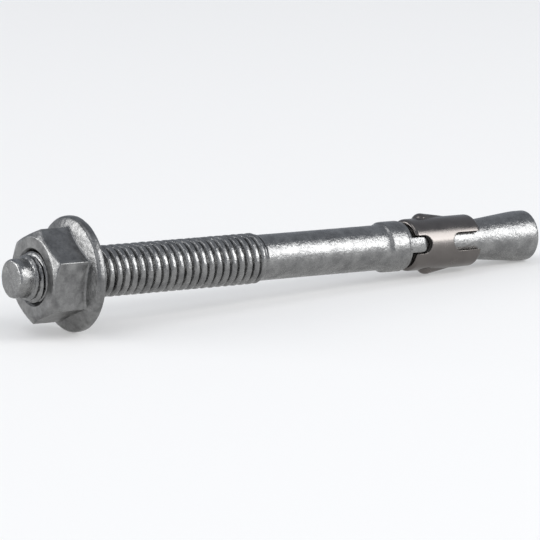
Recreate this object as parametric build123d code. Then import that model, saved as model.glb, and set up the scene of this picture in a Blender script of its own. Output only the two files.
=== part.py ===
from build123d import *
from math import acos, atan2, cos, degrees, hypot, radians, sin, tan
import os

# Wedge anchor with an expansion clip and a hexagon flange nut, thread 5/16 in-18. Millimetres.
#
# Every piece is drawn along +X. X = 0 is the end face of the point that is hammered, and the
# cone's end face is at X = LENGTH. The keys lie along -Y and +Y, the clip's bumps along -Z and +Z.
# The finished anchor is then laid on the floor, where its flange and its cone touch Z = 0.

# Anchor bolt: lengths along X
LENGTH = 98.2
POINT_LENGTH = 2.1  # plain point ahead of the thread
THREAD_LENGTH = 42.4  # from the point's shoulder to the last full turn
RUNOUT_LENGTH = 0.65
COLLAR_LENGTH = 3.0
COLLAR_RAMP = 1.8
NECK_LENGTH = 14.2  # from the collar to the foot of the cone
CONE_LENGTH = 8.8
CONE_LAND = 2.4  # short cylinder that ends the cone

# Anchor bolt: diameters and edges
POINT_DIA = 6.0
THREAD_DIA = 8.0  # over the crests
THREAD_LEAD = 32.5  # degrees, chamfer that starts the thread
THREAD_PITCH = 25.4 / 18
THREAD_ANGLE = 60.0  # degrees, between the flanks
THREAD_DEPTH = 0.68
SHANK_DIA = 7.24  # the rolled thread's pitch diameter
COLLAR_DIA = 8.15
NECK_DIA = 6.4
CONE_DIA = 8.16
POINT_EDGE = 0.35  # chamfer
COLLAR_EDGE = 0.3  # chamfer
CONE_EDGE = 0.4  # chamfer

# Keys that stop the clip turning
KEY_WIDTH = 2.3
KEY_LENGTH = 2.6
KEY_CORNER = 0.75
KEY_DROP = 0.1  # key below the collar's surface
KEY_NOSE = 0.6  # length and fall of the key's sloped nose

# Expansion clip
SHEET = 0.9
CLIP_GAP = 0.7  # between collar and clip
CLIP_REST = 0.5  # between clip and foot of the cone
CLIP_FIT = 0.1  # radial clearance on the neck
KEY_FIT = 0.35  # between a key's side and its notch
KEY_END_FIT = 0.95  # between a key's nose and the end of its notch
SLOT_LENGTH = 5.7
SEAM = 0.4  # gap where the wrapped sheet's ends meet
BUMP_START = 3.7  # from the clip's collar end to the middle of the upper bump's dome
BUMP_STAGGER = 0.5  # the lower bump stands further from the collar
BUMP_HEIGHT = 0.75
BUMP_RADIUS = 1.65
BUMP_LENGTH = 4.8  # from the middle of the dome to the tip of its tail

# Flange nut
NUT_START = 3.8  # from the point's end face to the nut's front face
NUT_HEIGHT = 7.8
ACROSS_FLATS = 13.0
FLANGE_DIA = 17.9
FLANGE_RIM = 1.4
FLANGE_SLOPE = 20.0  # degrees, front of the flange
CHAMFER_SLOPE = 30.0  # degrees, chamfer of the hexagon
CHAMFER_DIA = 12.3  # flat ring left on the front face
COUNTERSINK_DIA = 9.0
THREAD_FIT = 0.05  # radial clearance between the crests and the nut's bore
RIM_EDGE = 0.4  # chamfer

# How the anchor lies
KEY_ROLL = 10.5  # degrees that the -Y key is turned up
NUT_ROLL = 5.0  # degrees that the nut's top corner is turned towards -Y

# Stations along X that follow from the sizes above
THREAD_END = POINT_LENGTH + THREAD_LENGTH
CONE_TOP = LENGTH - CONE_LAND
CONE_FOOT = CONE_TOP - CONE_LENGTH
COLLAR_END = CONE_FOOT - NECK_LENGTH
COLLAR_START = COLLAR_END - COLLAR_LENGTH
KEY_END = COLLAR_END + KEY_LENGTH
CLIP_START = COLLAR_END + CLIP_GAP
CLIP_END = CONE_FOOT - CLIP_REST
NUT_END = NUT_START + NUT_HEIGHT

CLIP_BORE = NECK_DIA / 2 + CLIP_FIT
CLIP_RADIUS = CLIP_BORE + SHEET
NOTCH_WIDTH = KEY_WIDTH + 2 * KEY_FIT
REACH = 2 * FLANGE_DIA  # longer than any piece is wide


def turned(points):
    """A solid turned about the X axis from (x, radius) points of its outline."""
    (first, _), (last, _) = points[0], points[-1]
    outline = Polyline((first, 0), *points, (last, 0), close=True)
    return revolve(make_face(outline), Axis.X)


def cylinder(start, end, radius):
    return turned([(start, radius), (end, radius)])


def edges_at(solid, x, radius):
    """The circles about the X axis at one station that have one radius."""
    return [
        edge
        for edge in solid.edges().filter_by(GeomType.CIRCLE)
        if abs(edge.arc_center.X - x) < 1e-4 and abs(edge.radius - radius) < 1e-4
    ]


def key_plan(start, end, width, corner):
    """A tongue seen along Y, from start to end along X, with its two corners at the end rounded."""
    plan = Pos((start + end) / 2, 0) * Rectangle(end - start, width)
    return fillet(plan.vertices().group_by(Axis.X)[-1], corner)


def key_pair():
    """The two tongues that run from the collar over the neck, one on each side."""
    plan = key_plan(COLLAR_START, KEY_END, KEY_WIDTH, KEY_CORNER)
    bar = extrude(Plane.XZ * plan, REACH, both=True)
    top = COLLAR_DIA / 2 - KEY_DROP
    bar &= turned([(COLLAR_START, top), (KEY_END - KEY_NOSE, top), (KEY_END, top - KEY_NOSE)])
    return bar


def thread_grooves(start, end, crest):
    """Outline points of the thread's V grooves, one to a pitch, up to its last full turn."""
    half = THREAD_DEPTH * tan(radians(THREAD_ANGLE / 2))
    points = []
    for turn in reversed(range(int((end - start) / THREAD_PITCH))):
        middle = end - (turn + 0.5) * THREAD_PITCH
        points += [(middle - half, crest), (middle, crest - THREAD_DEPTH), (middle + half, crest)]
    return points


def anchor_bolt():
    """Cold-formed stud: point, thread, shank, ramped collar, neck and cone.

    The thread is drawn as rings, one to a pitch, and not as a helix.
    """
    point, crest = POINT_DIA / 2, THREAD_DIA / 2
    shank, collar = SHANK_DIA / 2, COLLAR_DIA / 2
    neck, cone = NECK_DIA / 2, CONE_DIA / 2
    lead = (crest - point) / tan(radians(THREAD_LEAD))
    stud = turned(
        [
            (0, point),
            (POINT_LENGTH, point),
            (POINT_LENGTH + lead, crest),
            *thread_grooves(POINT_LENGTH + lead, THREAD_END, crest),
            (THREAD_END, crest),
            (THREAD_END + RUNOUT_LENGTH, shank),
            (COLLAR_START - COLLAR_RAMP, shank),
            (COLLAR_START, collar),
            (COLLAR_END, collar),
            (COLLAR_END, neck),
            (CONE_FOOT, neck),
            (CONE_TOP, cone),
            (LENGTH, cone),
        ]
    )
    stud = chamfer(edges_at(stud, 0, point), POINT_EDGE)
    stud = chamfer(edges_at(stud, COLLAR_END, collar), COLLAR_EDGE)
    stud = chamfer(edges_at(stud, LENGTH, cone), CONE_EDGE)
    return stud + key_pair()


def bump(radius):
    """Teardrop on the +Z side: a dome towards the collar and a tail that sinks into the sheet."""
    middle = CLIP_RADIUS + BUMP_HEIGHT - BUMP_RADIUS
    rise = CLIP_RADIUS - middle
    reach = hypot(BUMP_LENGTH, rise) * radius / BUMP_RADIUS
    turn = degrees(acos(radius / reach))
    dome = CenterArc((0, 0), radius, turn, 180 - turn)
    outline = dome + Polyline(dome @ 1, (reach, 0), dome @ 0)
    centre = (CLIP_START + BUMP_START, 0, middle)
    along = Plane(origin=centre, x_dir=(BUMP_LENGTH, 0, rise), z_dir=(0, -1, 0))
    return along * revolve(make_face(outline), Axis.X)


def mouth(width, closed, mouth_end):
    """Cutter for a round-ended slot through both sides of the clip, open at one of its ends."""
    inner = closed + (width / 2 if mouth_end > closed else -width / 2)
    plan = Pos(inner, 0) * Circle(width / 2)
    plan += Pos((inner + mouth_end) / 2, 0) * Rectangle(abs(mouth_end - inner), width)
    return extrude(Plane.XZ * plan, REACH, both=True)


def expansion_clip():
    """Sheet wrapped round the neck: keyed notches, expansion slots, a seam and two pressed bumps."""
    sleeve = cylinder(CLIP_START, CLIP_END, CLIP_RADIUS)
    outer, inner = bump(BUMP_RADIUS), bump(BUMP_RADIUS - SHEET)
    other_side = Pos(BUMP_STAGGER, 0, 0) * Rot(180, 0, 0)
    sleeve += [outer, other_side * outer]
    sleeve -= [inner, other_side * inner]
    sleeve -= cylinder(CLIP_START, CLIP_END, CLIP_BORE)
    sleeve -= mouth(NOTCH_WIDTH, KEY_END + KEY_END_FIT, CLIP_START - CLIP_GAP)
    sleeve -= mouth(NOTCH_WIDTH, CLIP_END - SLOT_LENGTH, CLIP_END + CLIP_REST)
    seam = Box(CLIP_END - CLIP_START, REACH, SEAM, align=(Align.MIN, Align.MIN, Align.CENTER))
    return sleeve - Pos(CLIP_START, 0, 0) * seam


def flange_nut():
    """Hexagon with a chamfered front, standing on a flange that widens to a chamfered rim."""
    plan = RegularPolygon(ACROSS_FLATS / 2, 6, major_radius=False, rotation=30)
    hexagon = extrude(Plane.YZ * plan, NUT_HEIGHT)
    corner = ACROSS_FLATS / 2 / cos(radians(30))
    ring = CHAMFER_DIA / 2
    fall = (corner - ring) * tan(radians(CHAMFER_SLOPE))
    hexagon &= turned([(0, ring), (fall, corner), (NUT_HEIGHT, corner)])
    rim, flat = FLANGE_DIA / 2, ACROSS_FLATS / 2
    rim_front = NUT_HEIGHT - FLANGE_RIM
    slope = tan(radians(FLANGE_SLOPE))
    flange = turned(
        [
            (rim_front - (rim - flat) * slope, flat),
            (rim_front - RIM_EDGE * slope, rim - RIM_EDGE),
            (rim_front + RIM_EDGE, rim),
            (NUT_HEIGHT - RIM_EDGE, rim),
            (NUT_HEIGHT, rim - RIM_EDGE),
        ]
    )
    nut = hexagon + flange
    bore, sink = THREAD_DIA / 2 + THREAD_FIT, COUNTERSINK_DIA / 2
    depth = sink - bore
    nut -= turned(
        [
            (0, sink),
            (depth, bore),
            (NUT_HEIGHT - depth, bore),
            (NUT_HEIGHT, sink),
        ]
    )
    return Pos(NUT_START, 0, 0) * nut


def laid_down():
    """Where the drawn axis goes when the flange's rim and the cone's end rest on the floor."""
    rim_x, rim_r = NUT_END - RIM_EDGE, FLANGE_DIA / 2
    end_x, end_r = LENGTH - CONE_EDGE, CONE_DIA / 2
    lean = atan2(rim_r - end_r, end_x - rim_x)
    height = end_r * cos(lean) + (end_x - LENGTH / 2) * sin(lean)
    return Pos(0, 0, height) * Rot(0, degrees(lean), 0) * Pos(-LENGTH / 2, 0, 0)


def main():
    os.makedirs("parts", exist_ok=True)
    lie, key_roll, nut_roll = laid_down(), Rot(-KEY_ROLL, 0, 0), Rot(NUT_ROLL, 0, 0)
    pieces = {
        "anchor_bolt": lie * key_roll * anchor_bolt(),
        "expansion_clip": lie * key_roll * expansion_clip(),
        "flange_nut": lie * nut_roll * flange_nut(),
    }
    for name, piece in pieces.items():
        export_step(piece, f"parts/{name}.step")


main()
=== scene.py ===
import math

import bpy
from mathutils import Matrix


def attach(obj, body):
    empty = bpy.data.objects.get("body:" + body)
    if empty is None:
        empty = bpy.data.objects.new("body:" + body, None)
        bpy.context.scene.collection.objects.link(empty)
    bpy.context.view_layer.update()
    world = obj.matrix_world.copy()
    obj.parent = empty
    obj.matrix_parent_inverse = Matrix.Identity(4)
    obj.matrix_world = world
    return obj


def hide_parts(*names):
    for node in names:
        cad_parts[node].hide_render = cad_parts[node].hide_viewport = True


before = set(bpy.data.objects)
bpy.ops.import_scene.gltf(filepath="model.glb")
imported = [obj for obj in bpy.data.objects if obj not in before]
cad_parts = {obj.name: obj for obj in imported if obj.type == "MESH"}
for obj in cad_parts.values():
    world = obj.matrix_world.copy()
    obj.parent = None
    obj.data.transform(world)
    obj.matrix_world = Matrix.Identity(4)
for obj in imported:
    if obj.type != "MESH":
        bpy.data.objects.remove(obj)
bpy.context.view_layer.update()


# ---------------------------------------------------------------------------------------------
# Anchor bolt. One rod of medium-carbon steel, cold-formed to a hammer point, a ramped collar, a
# neck and an expansion cone, with a rolled 5/16 in-18 thread, and then hot-dip galvanised. It is
# drawn along X from the point's end face, and laid down once it is finished.
# ---------------------------------------------------------------------------------------------
mm = 0.001
pitch = 25.4 / 18 * mm
bolt_sides = 96
point_end, point_radius = 2.1 * mm, 3.0 * mm
root_rise, last_crest, runout_end = 43.4 * mm, 43.9 * mm, 45.1 * mm
crest_radius, root_radius, shank_radius = 4.0 * mm, 3.36 * mm, 3.62 * mm
thread_start, thread_turns = 0.206 * mm, 35
merge_distance = 0.002 * mm


def edit(piece):
    """Opens one piece in edit mode, with nothing selected."""
    bpy.ops.object.select_all(action="DESELECT")
    piece.select_set(True)
    bpy.context.view_layer.objects.active = piece
    bpy.ops.object.mode_set(mode="EDIT")
    bpy.ops.mesh.select_mode(type="VERT")
    bpy.ops.mesh.select_all(action="DESELECT")


def pick(piece, wanted):
    """Selects the points of the piece in edit mode whose place is wanted, and what lies between them."""
    bpy.ops.mesh.select_all(action="DESELECT")
    bpy.ops.object.mode_set(mode="OBJECT")
    for point in piece.data.vertices:
        point.select = wanted(point.co)
    bpy.ops.object.mode_set(mode="EDIT")


def turn_on(x, radius, stations):
    """Carries the selected ring on along X through (x, radius) stations, as on a lathe."""
    for next_x, next_radius in stations:
        bpy.ops.mesh.extrude_edges_move(TRANSFORM_OT_translate={"value": (next_x - x, 0, 0)})
        grow = next_radius / radius
        bpy.ops.transform.resize(value=(1, grow, grow), center_override=(next_x, 0, 0))
        x, radius = next_x, next_radius


def apply_modifiers(piece):
    """Applies the piece's modifiers in order, so that its mesh is its finished form."""
    bpy.ops.object.select_all(action="DESELECT")
    piece.select_set(True)
    bpy.context.view_layer.objects.active = piece
    for modifier in list(piece.modifiers):
        bpy.ops.object.modifier_apply(modifier=modifier.name)


def cut_or_join(piece, other, operation):
    """Joins another solid to the piece, cuts it away or keeps what they share, and uses it up."""
    boolean = piece.modifiers.new(operation, "BOOLEAN")
    boolean.operation = operation
    boolean.solver = "EXACT"
    boolean.object = other
    apply_modifiers(piece)
    bpy.data.objects.remove(other)


def roll_thread(name, groove, turns, start):
    """A thread surface: one tooth's outline, from root to root, carried round X as a helix."""
    bpy.ops.mesh.primitive_plane_add(size=mm)
    piece = bpy.context.object
    piece.name = name
    edit(piece)
    bpy.ops.mesh.select_all(action="SELECT")
    bpy.ops.mesh.merge(type="CENTER")
    x, radius = groove[0]
    bpy.ops.transform.translate(value=(start + x * pitch, radius * mm, 0))
    for next_x, next_radius in groove[1:]:
        step = ((next_x - x) * pitch, (next_radius - radius) * mm, 0)
        bpy.ops.mesh.extrude_vertices_move(TRANSFORM_OT_translate={"value": step})
        x, radius = next_x, next_radius
    bpy.ops.object.mode_set(mode="OBJECT")
    helix = piece.modifiers.new("helix", "SCREW")
    helix.axis = "X"
    helix.steps = helix.render_steps = bolt_sides
    helix.iterations = turns
    helix.screw_offset = pitch
    helix.use_smooth_shade = True
    apply_modifiers(piece)
    edit(piece)
    bpy.ops.mesh.select_all(action="SELECT")
    bpy.ops.mesh.remove_doubles(threshold=merge_distance)
    bpy.ops.object.mode_set(mode="OBJECT")
    return piece


# One tooth as (share of the pitch, radius in mm), both flanks alike: the zinc has filled the root to
# a narrow groove and rounded the flanks, so that the crest is a wide bead.
flank = [(0.0, 3.36), (0.03, 3.42), (0.07, 3.56), (0.12, 3.72), (0.18, 3.85), (0.25, 3.94)]
flank += [(0.33, 3.985), (0.42, 4.0)]
tooth = flank + [(0.5, 3.995)] + [(1 - share, radius) for share, radius in reversed(flank)]
bolt = roll_thread("bolt_body", tooth, thread_turns, thread_start)


def along(x, first, last):
    """How far x has come from first to last, as a share from 0 to 1."""
    return min(max((x - first) / (last - first), 0), 1)


# The thread comes up behind the point as a crest that the dies didn't fill: a low ring, a seam and
# then the rise to the full crest, as (x, radius) in mm.
lead_rings = [(2.1, 3.0), (2.4, 3.02), (2.5, 3.28), (2.72, 3.5), (3.0, 3.5), (3.15, 3.42), (3.24, 3.34)]
lead_rings += [(3.34, 3.5), (3.46, 3.68), (3.67, 3.88), (3.9, 4.0)]


def lead_radius(x):
    """The highest radius that the thread reaches at x, from the lead's rings."""
    for (first_x, first), (last_x, last) in zip(lead_rings, lead_rings[1:]):
        if x <= last_x * mm:
            return (first + (last - first) * along(x, first_x * mm, last_x * mm)) * mm
    return crest_radius


# The helix is cut off square at both ends. Points that lie within a hair of an end go onto it, because
# the merge would otherwise leave them beside it and open a slit.
hair = 0.003 * mm
for point in bolt.data.vertices:
    x = point.co.x
    if x < point_end + hair:
        x = point_end
    elif x > runout_end - hair:
        x = runout_end
    fade = along(x, last_crest, runout_end - 0.1 * mm)
    high = min(lead_radius(x), crest_radius + (shank_radius - crest_radius) * fade)
    low = root_radius + (shank_radius - root_radius) * along(x, root_rise, runout_end - 0.2 * mm)
    radius = math.hypot(point.co.y, point.co.z)
    grow = min(max(radius, low), high) / radius
    point.co = (x, point.co.y * grow, point.co.z * grow)

edit(bolt)
bpy.ops.mesh.select_all(action="SELECT")
bpy.ops.mesh.remove_doubles(threshold=merge_distance)

# The plain point, carried forward from the thread's first ring.
pick(bolt, lambda place: place.x < point_end + 0.001 * mm)
round_point = [(0.4 - 0.4 * math.sin(a), 2.6 + 0.4 * math.cos(a)) for a in (0.4, 0.8, 1.2, 1.57)]
point_stations = [(1.6, 3.0), (1.1, 3.01), (0.4, 3.0)] + round_point
turn_on(point_end, point_radius, [(x * mm, r * mm) for x, r in point_stations])
bpy.ops.mesh.edge_face_add()
for _ in range(5):
    bpy.ops.mesh.inset(thickness=0.4 * mm)
bpy.ops.mesh.poke()

# The shank, collar, neck and cone, carried back from the thread's last ring.
pick(bolt, lambda place: place.x > runout_end - 0.001 * mm)
shank_stations = [(45.5 + 0.5 * i, 3.62) for i in range(44)]
collar_stations = [
    (67.7, 3.63),
    (68.0, 3.67),
    (68.3, 3.72),
    (68.5, 3.78),
    (68.63, 3.87),
    (68.76, 3.96),
    (68.88, 4.03),
    (69.1, 4.055),
    (69.6, 4.07),
    (70.2, 4.075),
    (70.8, 4.075),
    (71.4, 4.075),
    (71.95, 4.075),
    (72.08, 4.05),
    (72.14, 3.99),
    (72.22, 3.97),
    (72.5, 3.97),
    (72.7, 3.91),
    (72.8, 3.76),
    (72.8, 3.5),
    (72.85, 3.25),
]
neck_stations = [(73.2 + 0.6 * i, 3.2) for i in range(23)]
cone_stations = [(87.0 + 0.55 * i, 3.21 + 0.0541 * i) for i in range(16)]
round_end = [(97.8 + 0.4 * math.sin(a), 3.68 + 0.4 * math.cos(a)) for a in (0.3, 0.6, 0.9, 1.2, 1.57)]
end_stations = [(95.9, 4.065), (96.4, 4.08), (97.1, 4.08), (97.8, 4.08)] + round_end
rear = shank_stations + collar_stations + neck_stations + cone_stations + end_stations
turn_on(runout_end, shank_radius, [(x * mm, r * mm) for x, r in rear])
bpy.ops.mesh.edge_face_add()
for _ in range(5):
    bpy.ops.mesh.inset(thickness=0.55 * mm)
bpy.ops.mesh.poke()
bpy.ops.mesh.select_all(action="SELECT")
bpy.ops.mesh.normals_make_consistent(inside=False)
bpy.ops.object.mode_set(mode="OBJECT")

# The two keys that hold the clip: tongues as high as the collar, with a round, sloped nose.
key_radius, key_length, key_width = 3.97 * mm, 4.0 * mm, 2.4 * mm
key_middle, tongue_middle, tongue_length = 73.0 * mm, 72.75 * mm, 5.9 * mm
bpy.ops.mesh.primitive_cylinder_add(
    vertices=bolt_sides,
    radius=key_radius,
    depth=key_length,
    location=(key_middle, 0, 0),
    rotation=(0, math.pi / 2, 0),
)
keys = bpy.context.object
keys.name = "keys"
bpy.ops.object.transform_apply(location=True, rotation=True, scale=True)
edit(keys)
key_end = key_middle + key_length / 2
pick(keys, lambda place: place.x > key_end - 0.01 * mm)
for x, radius, before in ((75.4, 3.92, 3.97), (75.6, 3.78, 3.92), (75.71, 3.5, 3.78)):
    bpy.ops.mesh.extrude_region_move(TRANSFORM_OT_translate={"value": (0.1 * mm, 0, 0)})
    grow = radius / before
    bpy.ops.transform.resize(value=(1, grow, grow), center_override=(x * mm, 0, 0))
    bpy.ops.object.mode_set(mode="OBJECT")
    for point in keys.data.vertices:
        if point.select:
            point.co.x = x * mm
    bpy.ops.object.mode_set(mode="EDIT")
bpy.ops.object.mode_set(mode="OBJECT")


def pick_edges(piece, wanted):
    """Selects the edges of the piece in edit mode whose two ends are wanted together."""
    bpy.ops.mesh.select_mode(type="EDGE")
    bpy.ops.object.mode_set(mode="OBJECT")
    for edge in piece.data.edges:
        first, last = (piece.data.vertices[i].co for i in edge.vertices)
        edge.select = wanted(first, last)
    bpy.ops.object.mode_set(mode="EDIT")


bpy.ops.mesh.primitive_cube_add(size=1, location=(tongue_middle, 0, 0))
tongue = bpy.context.object
tongue.scale = (tongue_length, 20 * mm, key_width)
bpy.ops.object.transform_apply(location=True, rotation=True, scale=True)
edit(tongue)
pick_edges(tongue, lambda first, last: min(first.x, last.x) > 75 * mm and abs(first.y - last.y) > mm)
bpy.ops.mesh.bevel(offset=1.1 * mm, segments=10)
bpy.ops.object.mode_set(mode="OBJECT")
cut_or_join(keys, tongue, "INTERSECT")
bevel = keys.modifiers.new("soft edges", "BEVEL")
bevel.width = 0.2 * mm
bevel.segments = 3
bevel.limit_method = "ANGLE"
bevel.angle_limit = math.radians(40)
apply_modifiers(keys)
cut_or_join(bolt, keys, "UNION")


def lump(piece, spacing, height, share):
    """The zinc's lumps: moves the piece's points in and out, by each point's share of the height."""
    group = piece.vertex_groups.new(name="zinc")
    for point in piece.data.vertices:
        group.add([point.index], share(point.co.x), "REPLACE")
    clouds = bpy.data.textures.new(piece.name + "_lumps", "CLOUDS")
    clouds.noise_scale = spacing
    clouds.noise_depth = 1
    zinc = piece.modifiers.new("zinc lumps", "DISPLACE")
    zinc.texture = clouds
    zinc.texture_coords = "LOCAL"
    zinc.strength = height
    zinc.mid_level = 0.5
    zinc.vertex_group = "zinc"
    apply_modifiers(piece)
    piece.vertex_groups.clear()


# The lumps stand 0.6 mm apart and 0.1 mm high on the thread, and about a third as high behind it.
shank_share = 0.35
lump(bolt, 0.6 * mm, 0.1 * mm, lambda x: 1 if x < runout_end else shank_share)

# The anchor lies on the nut's flange and on the end of its cone, so its axis falls towards the cone.
bolt_middle, axis_height, lean = 49.1 * mm, 6.8079 * mm, math.radians(3.2187)
slope = Matrix.Rotation(lean, 4, "Y")
lie = Matrix.Translation((0, 0, axis_height)) @ slope @ Matrix.Translation((-bolt_middle, 0, 0))
key_roll = Matrix.Rotation(math.radians(-10.5), 4, "X")


def lay_down(piece, place):
    """Lays a drawn piece where it rests, with its place in its mesh."""
    bpy.ops.object.select_all(action="DESELECT")
    piece.select_set(True)
    bpy.context.view_layer.objects.active = piece
    piece.matrix_world = place
    bpy.ops.object.transform_apply(location=True, rotation=True, scale=True)
    bpy.ops.object.shade_smooth_by_angle(angle=math.radians(35))


lay_down(bolt, lie @ key_roll)


def colour(code):
    """An sRGB hex code as the linear colour that shaders take."""
    parts = [int(code[i : i + 2], 16) / 255 for i in (1, 3, 5)]
    linear = [p / 12.92 if p <= 0.04045 else ((p + 0.055) / 1.055) ** 2.4 for p in parts]
    return (*linear, 1)


def add(tree, kind, settings, links):
    """Adds a node: settings go on the node or on its inputs, and links give an input the output it takes."""
    node = tree.nodes.new(kind)
    for name, value in settings.items():
        if isinstance(name, int) or name in node.inputs:
            node.inputs[name].default_value = value
        else:
            setattr(node, name, value)
    for name, output in links.items():
        tree.links.new(output, node.inputs[name])
    return node


def galvanised_steel(name, dark, light, roughness, grain):
    """Hot-dip galvanised steel: the zinc froze as it drained, so the eye sees a semi-bright grey skin
    with cloudy patches 2 mm across, shallow lumps of 1 mm, and grain of 0.4 mm that breaks up highlights."""
    patch_scale, lump_scale, grain_scale = 0.5 / mm, 0.95 / mm, 2.6 / mm
    material = bpy.data.materials.new(name)
    material.use_nodes = True
    tree = material.node_tree
    shader = tree.nodes["Principled BSDF"]
    shader.inputs["Metallic"].default_value = 1
    place = {"Vector": add(tree, "ShaderNodeTexCoord", {}, {}).outputs["Object"]}
    patches = add(tree, "ShaderNodeTexNoise", {"Scale": patch_scale, "Detail": 6, "Roughness": 0.72}, place)
    skin = add(tree, "ShaderNodeTexNoise", {"Scale": grain_scale, "Detail": 3, "Roughness": 0.6}, place)
    lumps = add(tree, "ShaderNodeTexNoise", {"Scale": lump_scale, "Detail": 2, "Roughness": 0.5}, place)
    contrast = add(tree, "ShaderNodeMapRange", {1: 0.36, 2: 0.64}, {0: patches.outputs["Fac"]})
    tone = add(tree, "ShaderNodeMix", {"data_type": "RGBA"}, {})
    tone.inputs[6].default_value = colour(dark)
    tone.inputs[7].default_value = colour(light)
    tree.links.new(contrast.outputs[0], tone.inputs[0])
    tree.links.new(tone.outputs[2], shader.inputs["Base Color"])
    sheen = {1: 0.3, 2: 0.7, 3: roughness - 0.08, 4: roughness + 0.08}
    dull = add(tree, "ShaderNodeMapRange", sheen, {0: skin.outputs["Fac"]})
    tree.links.new(dull.outputs[0], shader.inputs["Roughness"])
    swell = {"Height": lumps.outputs["Fac"]}
    wave = add(tree, "ShaderNodeBump", {"Strength": 1, "Distance": 0.06 * mm}, swell)
    feel = {"Height": skin.outputs["Fac"], "Normal": wave.outputs[0]}
    fine = add(tree, "ShaderNodeBump", {"Strength": 1, "Distance": grain}, feel)
    tree.links.new(fine.outputs[0], shader.inputs["Normal"])
    return material


bolt.data.materials.append(galvanised_steel("galvanised steel, bolt", "#727272", "#90908f", 0.29, 0.05 * mm))
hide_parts("anchor_bolt")
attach(bolt, "bolt")


# ---------------------------------------------------------------------------------------------
# Expansion clip. A blank of 0.9 mm steel sheet, stamped with its notches, slots and two pressed
# teardrop bumps, and then wrapped round the bolt's neck until its ends almost meet.
# ---------------------------------------------------------------------------------------------
clip_start, clip_end = 73.5 * mm, 86.5 * mm
sheet, clip_radius = 0.9 * mm, 4.2 * mm
bump_radius, bump_height, bump_tail = 1.65 * mm, 0.75 * mm, 4.8 * mm
upper_dome, lower_dome = 3.7 * mm, 4.2 * mm
mouth_width, notch_end, slot_end = 3.0 * mm, 76.35 * mm, 80.8 * mm
seam_gap = 0.4 * mm

bpy.ops.mesh.primitive_cylinder_add(
    vertices=160,
    radius=clip_radius,
    depth=clip_end - clip_start,
    end_fill_type="NOTHING",
    location=((clip_start + clip_end) / 2, 0, 0),
    rotation=(0, math.pi / 2, 0),
)
clip = bpy.context.object
clip.name = "clip_sleeve"
bpy.ops.object.transform_apply(location=True, rotation=True, scale=True)
edit(clip)
pick_edges(clip, lambda first, last: abs(first.x - last.x) > mm)
bpy.ops.mesh.subdivide(number_cuts=86)
bpy.ops.object.mode_set(mode="OBJECT")
# Each pressed bump is part of a dome, whose radius shrinks to nothing along the bump's tail.
for point in clip.data.vertices:
    dome = clip_start + (upper_dome if point.co.z > 0 else lower_dome)
    reach = point.co.x - dome
    side = clip_radius * math.atan2(point.co.y, abs(point.co.z))
    narrow = 1 - max(reach, 0) / bump_tail
    gap = (bump_radius * narrow) ** 2 - side**2 - min(reach, 0) ** 2
    if narrow > 0 and gap > 0:
        push = math.sqrt(gap) - (bump_radius - bump_height) * narrow
        grow = 1 + max(push, 0) / clip_radius
        point.co.y *= grow
        point.co.z *= grow
wall = clip.modifiers.new("sheet", "SOLIDIFY")
wall.thickness = sheet
wall.offset = -1
wall.use_even_offset = True
apply_modifiers(clip)


def lathe(name, sides, stations):
    """A solid turned about X through (x, radius) stations, closed at both ends."""
    x, radius = (size * mm for size in stations[0])
    bpy.ops.mesh.primitive_circle_add(
        vertices=sides, radius=radius, fill_type="NGON", location=(x, 0, 0), rotation=(0, math.pi / 2, 0)
    )
    piece = bpy.context.object
    piece.name = name
    bpy.ops.object.transform_apply(location=True, rotation=True, scale=True)
    edit(piece)
    bpy.ops.mesh.select_all(action="SELECT")
    for station in stations[1:]:
        next_x, next_radius = (size * mm for size in station)
        bpy.ops.mesh.extrude_region_move(TRANSFORM_OT_translate={"value": (next_x - x, 0, 0)})
        grow = next_radius / radius
        bpy.ops.transform.resize(value=(1, grow, grow), center_override=(next_x, 0, 0))
        x, radius = next_x, next_radius
    bpy.ops.mesh.select_all(action="SELECT")
    bpy.ops.mesh.normals_make_consistent(inside=False)
    bpy.ops.object.mode_set(mode="OBJECT")
    return piece


def mouth(width, closed, opening):
    """A round-ended cutter through both sides of the clip, from its closed end to its opening."""
    towards = 1 if opening > closed else -1
    centre = closed + towards * width / 2
    bpy.ops.mesh.primitive_cylinder_add(
        vertices=64, radius=width / 2, depth=20 * mm, location=(centre, 0, 0), rotation=(math.pi / 2, 0, 0)
    )
    cutter = bpy.context.object
    bpy.ops.object.transform_apply(location=True, rotation=True, scale=True)
    for point in cutter.data.vertices:
        if (point.co.x - centre) * towards > -0.001 * mm:
            point.co.x += opening - centre
    return cutter


cut_or_join(clip, mouth(mouth_width, notch_end, clip_start - 3 * mm), "DIFFERENCE")
cut_or_join(clip, mouth(mouth_width, slot_end, clip_end + 3 * mm), "DIFFERENCE")
bpy.ops.mesh.primitive_cube_add(size=1, location=(80 * mm, 5 * mm, 0))
seam = bpy.context.object
seam.scale = (14 * mm, 10 * mm, seam_gap)
bpy.ops.object.transform_apply(location=True, rotation=True, scale=True)
cut_or_join(clip, seam, "DIFFERENCE")
# The sheet's outer edges are rolled over at both ends, with a radius of 0.55 mm.
rolled = [(0.0, 3.65), (0.042, 3.86), (0.161, 4.039), (0.34, 4.158), (0.55, 4.202)]
front_roll = [(73.49, 3.6)] + [(73.5 + x, r) for x, r in rolled] + [(74.07, 5.3)]
rear_roll = [(85.93, 5.3)] + [(86.5 - x, r) for x, r in rolled[::-1]] + [(86.51, 3.6)]
cut_or_join(clip, lathe("rolled ends", 160, front_roll + rear_roll), "INTERSECT")
soften = clip.modifiers.new("rumbled edges", "REMESH")
soften.mode = "VOXEL"
soften.voxel_size = 0.1 * mm
soften.use_smooth_shade = True
smooth = clip.modifiers.new("smooth", "SMOOTH")
smooth.factor = 0.5
smooth.iterations = 4
apply_modifiers(clip)
lay_down(clip, lie @ key_roll)


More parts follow.
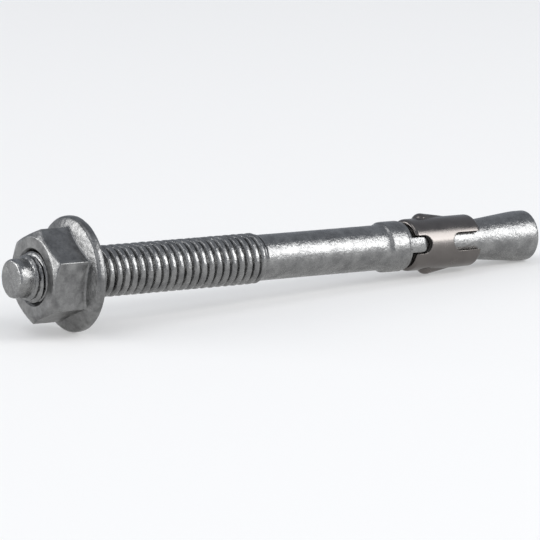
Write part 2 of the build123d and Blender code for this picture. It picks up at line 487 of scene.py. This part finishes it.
def wrapped_sheet(name, dark, light):
    """Bare cold-rolled sheet steel, tumbled smooth: the eye sees a warm grey-brown with soft, narrow
    highlights, faint cloudy patches of 1.7 mm, and a bloom of 0.3 mm that is too fine to count."""
    cloud_scale, bloom_scale = 0.6 / mm, 3 / mm
    material = bpy.data.materials.new(name)
    material.use_nodes = True
    tree = material.node_tree
    shader = tree.nodes["Principled BSDF"]
    shader.inputs["Metallic"].default_value = 1
    place = {"Vector": add(tree, "ShaderNodeTexCoord", {}, {}).outputs["Object"]}
    cloud = add(tree, "ShaderNodeTexNoise", {"Scale": cloud_scale, "Detail": 3, "Roughness": 0.5}, place)
    fine = add(tree, "ShaderNodeTexNoise", {"Scale": bloom_scale, "Detail": 2, "Roughness": 0.5}, place)
    tone = add(tree, "ShaderNodeMix", {"data_type": "RGBA"}, {})
    tone.inputs[6].default_value = colour(dark)
    tone.inputs[7].default_value = colour(light)
    tree.links.new(cloud.outputs["Fac"], tone.inputs[0])
    tree.links.new(tone.outputs[2], shader.inputs["Base Color"])
    dull = add(tree, "ShaderNodeMapRange", {1: 0.3, 2: 0.7, 3: 0.2, 4: 0.28}, {0: cloud.outputs["Fac"]})
    tree.links.new(dull.outputs[0], shader.inputs["Roughness"])
    bloom = {"Height": fine.outputs["Fac"]}
    bump = add(tree, "ShaderNodeBump", {"Strength": 1, "Distance": 0.004 * mm}, bloom)
    tree.links.new(bump.outputs[0], shader.inputs["Normal"])
    return material


clip.data.materials.append(wrapped_sheet("cold-rolled steel, clip", "#64605e", "#75716e"))
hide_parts("expansion_clip")
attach(clip, "clip")


# ---------------------------------------------------------------------------------------------
# Flange nut. Hot-forged in one piece: a chamfered 1/2 in hexagon on a sloped flange with a soft
# rim, tapped with a slightly wide 5/16 in-18 thread to go on over the zinc, and galvanised.
# ---------------------------------------------------------------------------------------------
nut_start, nut_height = 3.8 * mm, 7.8 * mm
across_corners = 13 * mm / math.cos(math.pi / 6)
tap_oversize, tap_turns = 0.2, 9
nut_roll = Matrix.Rotation(math.radians(5), 4, "X")

bpy.ops.mesh.primitive_cylinder_add(
    vertices=6,
    radius=across_corners / 2,
    depth=nut_height,
    location=(nut_start + nut_height / 2, 0, 0),
    rotation=(0, math.pi / 2, 0),
)
nut = bpy.context.object
nut.name = "flange_nut_body"
bpy.ops.transform.rotate(value=math.pi / 6, orient_axis="X", center_override=(0, 0, 0))
bpy.ops.object.transform_apply(location=True, rotation=True, scale=True)

chamfer = lathe("chamfer", bolt_sides, [(3.79, 6.13), (3.8, 6.15), (4.58, 7.51), (11.61, 7.51)])
cut_or_join(nut, chamfer, "INTERSECT")
flange = lathe(
    "flange",
    128,
    [(8.8, 5.0), (9.235, 6.3), (10.02, 8.46), (10.11, 8.66), (10.26, 8.81), (10.48, 8.91), (10.75, 8.95)]
    + [(11.1, 8.95), (11.35, 8.91), (11.5, 8.8), (11.58, 8.62), (11.6, 8.4)],
)
cut_or_join(nut, flange, "UNION")
soften = nut.modifiers.new("forged edges", "REMESH")
soften.mode = "VOXEL"
soften.voxel_size = 0.11 * mm
soften.use_smooth_shade = True
smooth = nut.modifiers.new("smooth", "SMOOTH")
smooth.factor = 0.5
smooth.iterations = 5
apply_modifiers(nut)

# The tap: every second point of the bolt's tooth, 0.2 mm wider all round, and then the two countersinks.
# It starts one turn and 15.5 degrees on, because the nut is rolled 15.5 degrees from the bolt.
tap_tooth = [(x, radius + tap_oversize) for x, radius in tooth[::2]]
tap = roll_thread("tap", tap_tooth, tap_turns, thread_start + (1 + 15.5 / 360) * pitch)
edit(tap)
bpy.ops.mesh.select_all(action="SELECT")
bpy.ops.mesh.bisect(plane_co=(3.3 * mm, 0, 0), plane_no=(-1, 0, 0), use_fill=True, clear_outer=True)
bpy.ops.mesh.select_all(action="SELECT")
bpy.ops.mesh.bisect(plane_co=(12.1 * mm, 0, 0), plane_no=(1, 0, 0), use_fill=True, clear_outer=True)
bpy.ops.mesh.select_all(action="SELECT")
bpy.ops.mesh.normals_make_consistent(inside=False)
bpy.ops.object.mode_set(mode="OBJECT")
cut_or_join(nut, tap, "DIFFERENCE")
cut_or_join(nut, lathe("front sink", bolt_sides, [(3.2, 5.1), (5.1, 3.2)]), "DIFFERENCE")
cut_or_join(nut, lathe("rear sink", bolt_sides, [(12.2, 5.54), (10.85, 3.2)]), "DIFFERENCE")
lump(nut, 1.1 * mm, 0.045 * mm, lambda x: 1)
lay_down(nut, lie @ nut_roll)
nut.data.materials.append(galvanised_steel("galvanised steel, nut", "#686868", "#8a8a89", 0.34, 0.035 * mm))
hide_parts("flange_nut")
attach(nut, "nut")


# ---------------------------------------------------------------------------------------------
# Studio. A pale table top, a bright soft box over the right side of the anchor and one behind its left
# end, and three weaker ones overhead, low in front and beside the camera that fill its shaded sides.
# ---------------------------------------------------------------------------------------------
bpy.ops.mesh.primitive_plane_add(size=3, location=(0, 0, 0))
floor = bpy.context.object
floor.name = "table_top"
# Matt white laminate: it takes a soft shadow and lifts the anchor's underside. A share of plain white is
# added where the camera, a reflection or a pass through glass sees it, so the table looks near white.
white_share = 0.25
table = bpy.data.materials.new("matt white laminate")
table.use_nodes = True
tree = table.node_tree
laminate = tree.nodes["Principled BSDF"]
laminate.inputs["Base Color"].default_value = colour("#f1f0ee")
laminate.inputs["Roughness"].default_value = 0.8
white = add(tree, "ShaderNodeEmission", {"Color": (1, 1, 1, 1), "Strength": 1}, {})
ray = add(tree, "ShaderNodeLightPath", {}, {})
glossy, passed = ray.outputs["Is Glossy Ray"], ray.outputs["Is Transmission Ray"]
mirrored = add(tree, "ShaderNodeMath", {"operation": "ADD"}, {0: glossy, 1: passed})
seen_by = {0: ray.outputs["Is Camera Ray"], 1: mirrored.outputs[0]}
seen = add(tree, "ShaderNodeMath", {"operation": "ADD", "use_clamp": True}, seen_by)
share = add(tree, "ShaderNodeMath", {"operation": "MULTIPLY", 1: white_share}, {0: seen.outputs[0]})
mixed = {0: share.outputs[0], 1: laminate.outputs[0], 2: white.outputs[0]}
blend = add(tree, "ShaderNodeMixShader", {}, mixed)
tree.links.new(blend.outputs[0], tree.nodes["Material Output"].inputs["Surface"])
floor.data.materials.append(table)

world = bpy.data.worlds.new("studio")
bpy.context.scene.world = world
world.use_nodes = True
tree = world.node_tree
room = tree.nodes["Background"]
room.inputs["Color"].default_value = colour("#eef4ff")
room.inputs["Strength"].default_value = 0.5


def soft_box(name, direction, distance, size, brightness):
    """An area lamp that faces the anchor, with the brightness that a mirror would show of it."""
    place = [distance * part for part in direction]
    bpy.ops.object.light_add(type="AREA", location=place)
    lamp = bpy.context.object
    lamp.name = name
    lamp.data.shape = "RECTANGLE"
    lamp.data.size, lamp.data.size_y = size
    lamp.data.energy = brightness * math.pi * size[0] * size[1]
    lamp.rotation_euler = (-lamp.location).to_track_quat("-Z", "Y").to_euler()


soft_box("upper soft box", (0.57, -0.65, 0.5), 1.0, (0.5, 0.62), 6.0)
soft_box("overhead soft box", (-0.35, 0.05, 0.94), 1.2, (0.6, 0.6), 1.8)
soft_box("low fill", (0.55, -0.81, 0.19), 1.2, (1.0, 0.45), 1.3)
soft_box("camera side fill", (-0.43, -0.72, 0.54), 1.2, (0.9, 0.8), 0.9)
soft_box("left soft box", (-0.85, 0.45, 0.28), 1.2, (1.1, 0.45), 5.6)


# ---------------------------------------------------------------------------------------------
# Camera. A long lens, 12.5 degrees above the table and turned 34 degrees from side-on, so that it
# looks from the thread end along the anchor.
# ---------------------------------------------------------------------------------------------
bpy.ops.object.camera_add(location=(-0.36243, -0.52829, 0.14688))
camera = bpy.context.object
camera.rotation_euler = (math.radians(77.4756), math.radians(0.358), math.radians(-34.4145))
camera.data.sensor_width = 36
camera.data.lens = 277.2
camera.data.clip_start = 0.01
bpy.context.scene.camera = camera
bpy.context.scene.view_settings.view_transform = "Standard"
